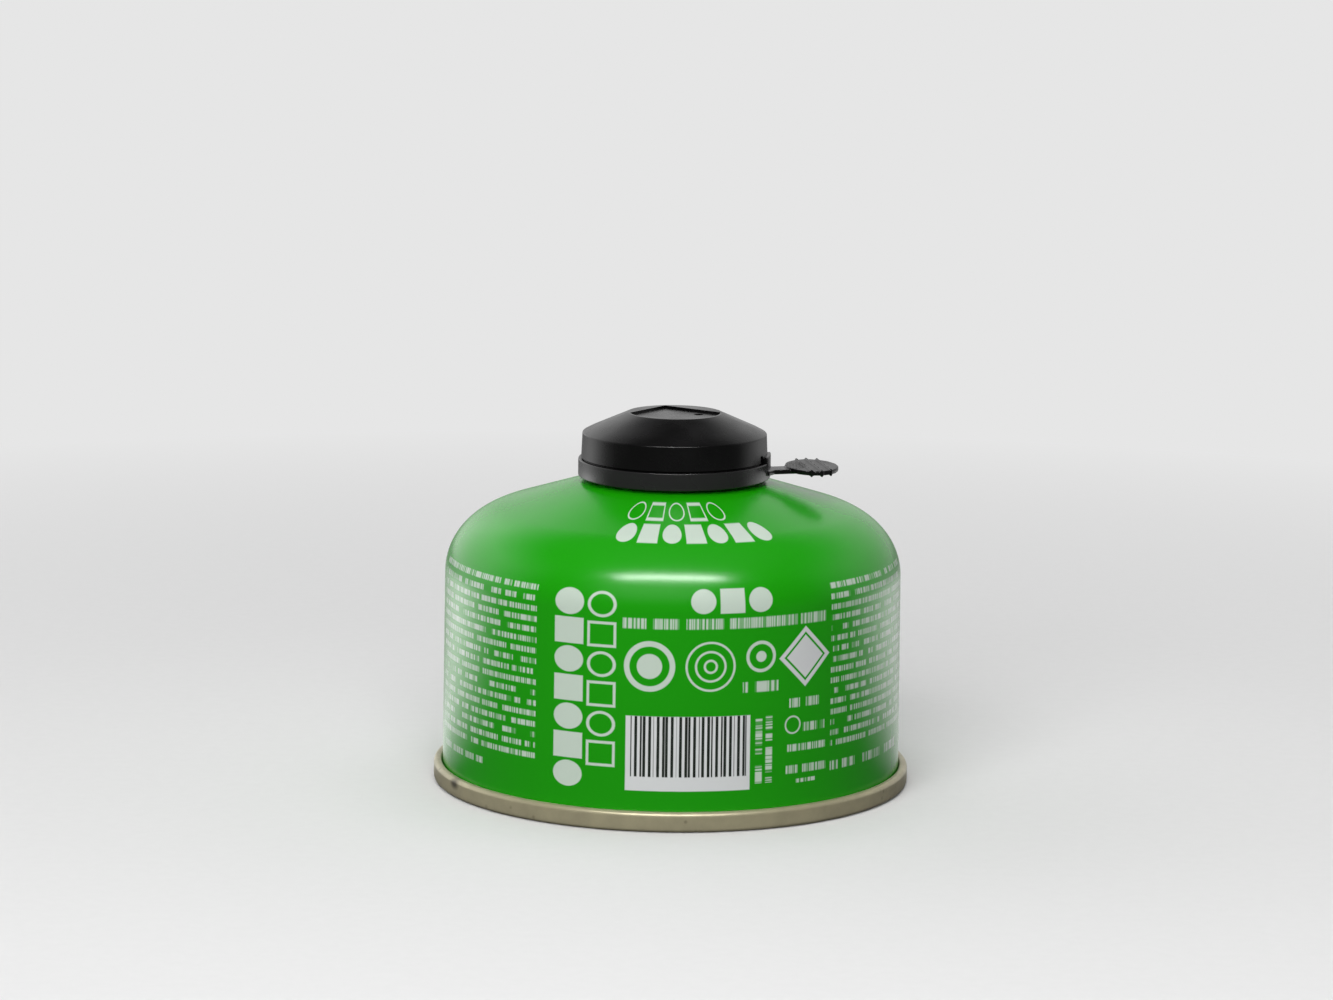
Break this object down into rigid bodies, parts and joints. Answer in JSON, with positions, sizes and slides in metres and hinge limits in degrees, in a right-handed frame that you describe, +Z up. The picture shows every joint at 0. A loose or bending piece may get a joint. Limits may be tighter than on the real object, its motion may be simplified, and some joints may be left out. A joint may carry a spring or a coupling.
{
  "type": "fuel canister",
  "caption": "Squat steel gas canister with a domed shoulder, seamed base, threaded valve post and a press-fit cap with a pull tab.",
  "frame": {"origin": "middle of the base's rim, on the ground", "axes": "+Z up along the can's axis; +X towards the cap's pull tab; -Y towards the camera in the picture"},
  "size_m": [0.09, 0.09, 0.0701],
  "materials": {
    "green_paint": "satin",
    "tinplate": "satin, with a pale lacquer",
    "cup_tinplate": "satin",
    "cap_plastic": "satin",
    "valve_plastic": "matte",
    "seal_rubber": "matte",
    "spring_steel": "bright"
  },
  "bodies": {
    "can": {"can_body": "green_paint", "base_end": "tinplate", "valve_cup": "cup_tinplate", "cup_gasket": "seal_rubber", "stem_seal": "seal_rubber", "valve_housing": "valve_plastic", "valve_spring": "spring_steel"},
    "stem": {"valve_stem": "valve_plastic"},
    "cover": {"cap": "cap_plastic"}
  },
  "joints": [
    {"name": "cap_lift", "type": "slide", "parent": "can", "child": "cover", "axis": [0, 0, 1], "range_m": [0, 0.03]},
    {"name": "valve_press", "type": "slide", "parent": "can", "child": "stem", "axis": [0, 0, 1], "range_m": [-0.0015, 0], "stiffness_N_per_m": 3000, "springref_m": 0.001, "deforming": ["valve_spring"]}
  ]
}
